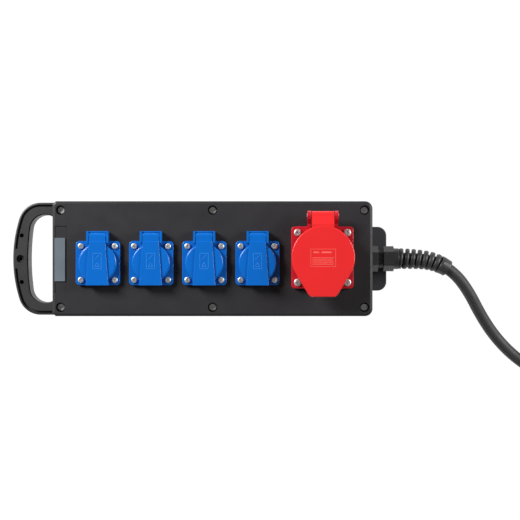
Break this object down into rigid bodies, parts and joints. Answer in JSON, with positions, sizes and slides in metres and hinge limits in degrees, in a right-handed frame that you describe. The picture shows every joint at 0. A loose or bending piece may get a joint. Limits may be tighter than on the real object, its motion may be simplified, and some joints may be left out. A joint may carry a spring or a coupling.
{
  "type": "portable power distribution box",
  "caption": "Portable power distribution box with a carrying handle, earthed sockets and a five-pole socket under sprung flaps, and a heavy rubber lead with a plug.",
  "frame": {"origin": "centre of the housing's flat back face, which the box rests on", "axes": "+X from the carrying handle to the cable gland, +Y towards the flaps' hinges, +Z out of the lid"},
  "size_m": [0.8095, 0.2986, 0.111],
  "materials": {
    "housing_black": "fine moulded grain",
    "handle_black": "satin moulded",
    "bumper_rubber": "matt",
    "seal_rubber": "matt",
    "zinc_steel": "bright zinc",
    "spring_steel": "bright",
    "brass": "bright",
    "earth_strip": "tinned",
    "label_grey": "satin",
    "socket_blue": "semi-gloss moulded",
    "socket_red": "semi-gloss moulded",
    "flange_red": "semi-gloss moulded, a deeper red",
    "insert_grey": "matt",
    "plug_dark": "matt",
    "gland_black": "satin",
    "cable_rubber": "matt with a faint sheen",
    "wire_brown": "satin",
    "wire_black": "satin",
    "wire_grey": "satin",
    "wire_blue": "satin",
    "wire_green": "satin"
  },
  "bodies": {
    "housing": {"base_shell": "housing_black", "bend_spiral": "gland_black", "bumper_screws": "zinc_steel", "cable_tail": "cable_rubber", "cee_body": "flange_red", "cee_contacts": "brass", "cee_flange_screws": "zinc_steel", "cee_hinge_pin": "zinc_steel", "cee_insert": "insert_grey", "cee_spring": "spring_steel", "cord_coil": "cable_rubber", "cord_end": "cable_rubber", "cord_run": "cable_rubber", "end_bumper": "bumper_rubber", "flange_gaskets": "seal_rubber", "gland_body": "gland_black", "gland_cap_nut": "gland_black", "gland_gasket": "seal_rubber", "gland_locknut": "gland_black", "gland_seal_insert": "seal_rubber", "handle": "handle_black", "handle_screws": "zinc_steel", "label_plate": "label_grey", "lid": "housing_black", "lid_gasket": "seal_rubber", "lid_screws": "zinc_steel", "plug_carrier": "insert_grey", "plug_front": "socket_red", "plug_gland_nut": "socket_red", "plug_pins": "brass", "plug_rear": "plug_dark", "schuko_body_1": "socket_blue", "schuko_body_2": "socket_blue", "schuko_body_3": "socket_blue", "schuko_body_4": "socket_blue", "schuko_contacts": "brass", "schuko_earth_clips": "earth_strip", "schuko_flange_screws": "zinc_steel", "schuko_hinge_pins": "zinc_steel", "schuko_springs": "spring_steel", "terminal_block": "insert_grey", "terminal_screws": "zinc_steel", "threaded_inserts": "brass", "wire_earth": "wire_green", "wire_l1": "wire_brown", "wire_l2": "wire_black", "wire_l3": "wire_grey", "wire_neutral": "wire_blue"},
    "flap_1": {"schuko_flap_1": "socket_blue", "schuko_flap_seal_1": "seal_rubber"},
    "flap_2": {"schuko_flap_2": "socket_blue", "schuko_flap_seal_2": "seal_rubber"},
    "flap_3": {"schuko_flap_3": "socket_blue", "schuko_flap_seal_3": "seal_rubber"},
    "flap_4": {"schuko_flap_4": "socket_blue", "schuko_flap_seal_4": "seal_rubber"},
    "cee_flap": {"cee_flap": "socket_red", "cee_flap_seal": "seal_rubber"}
  },
  "joints": [
    {"name": "flap_1_hinge", "type": "hinge", "parent": "housing", "child": "flap_1", "pos_m": [-0.129, 0.026, 0.094], "axis": [-1, 0, 0], "range_deg": [0, 110], "stiffness_Nm_per_rad": 0.004, "springref_deg": -34.38, "deforming": ["schuko_springs"]},
    {"name": "flap_2_hinge", "type": "hinge", "parent": "housing", "child": "flap_2", "pos_m": [-0.069, 0.026, 0.094], "axis": [-1, 0, 0], "range_deg": [0, 110], "stiffness_Nm_per_rad": 0.004, "springref_deg": -34.38, "deforming": ["schuko_springs"]},
    {"name": "flap_3_hinge", "type": "hinge", "parent": "housing", "child": "flap_3", "pos_m": [-0.009, 0.026, 0.094], "axis": [-1, 0, 0], "range_deg": [0, 110], "stiffness_Nm_per_rad": 0.004, "springref_deg": -34.38, "deforming": ["schuko_springs"]},
    {"name": "flap_4_hinge", "type": "hinge", "parent": "housing", "child": "flap_4", "pos_m": [0.051, 0.026, 0.094], "axis": [-1, 0, 0], "range_deg": [0, 110], "stiffness_Nm_per_rad": 0.004, "springref_deg": -34.38, "deforming": ["schuko_springs"]},
    {"name": "cee_flap_hinge", "type": "hinge", "parent": "housing", "child": "cee_flap", "pos_m": [0.124, 0.0483, 0.1025], "axis": [-1, 0, 0], "range_deg": [0, 110], "stiffness_Nm_per_rad": 0.02, "springref_deg": -34.38, "deforming": ["cee_spring"]}
  ]
}
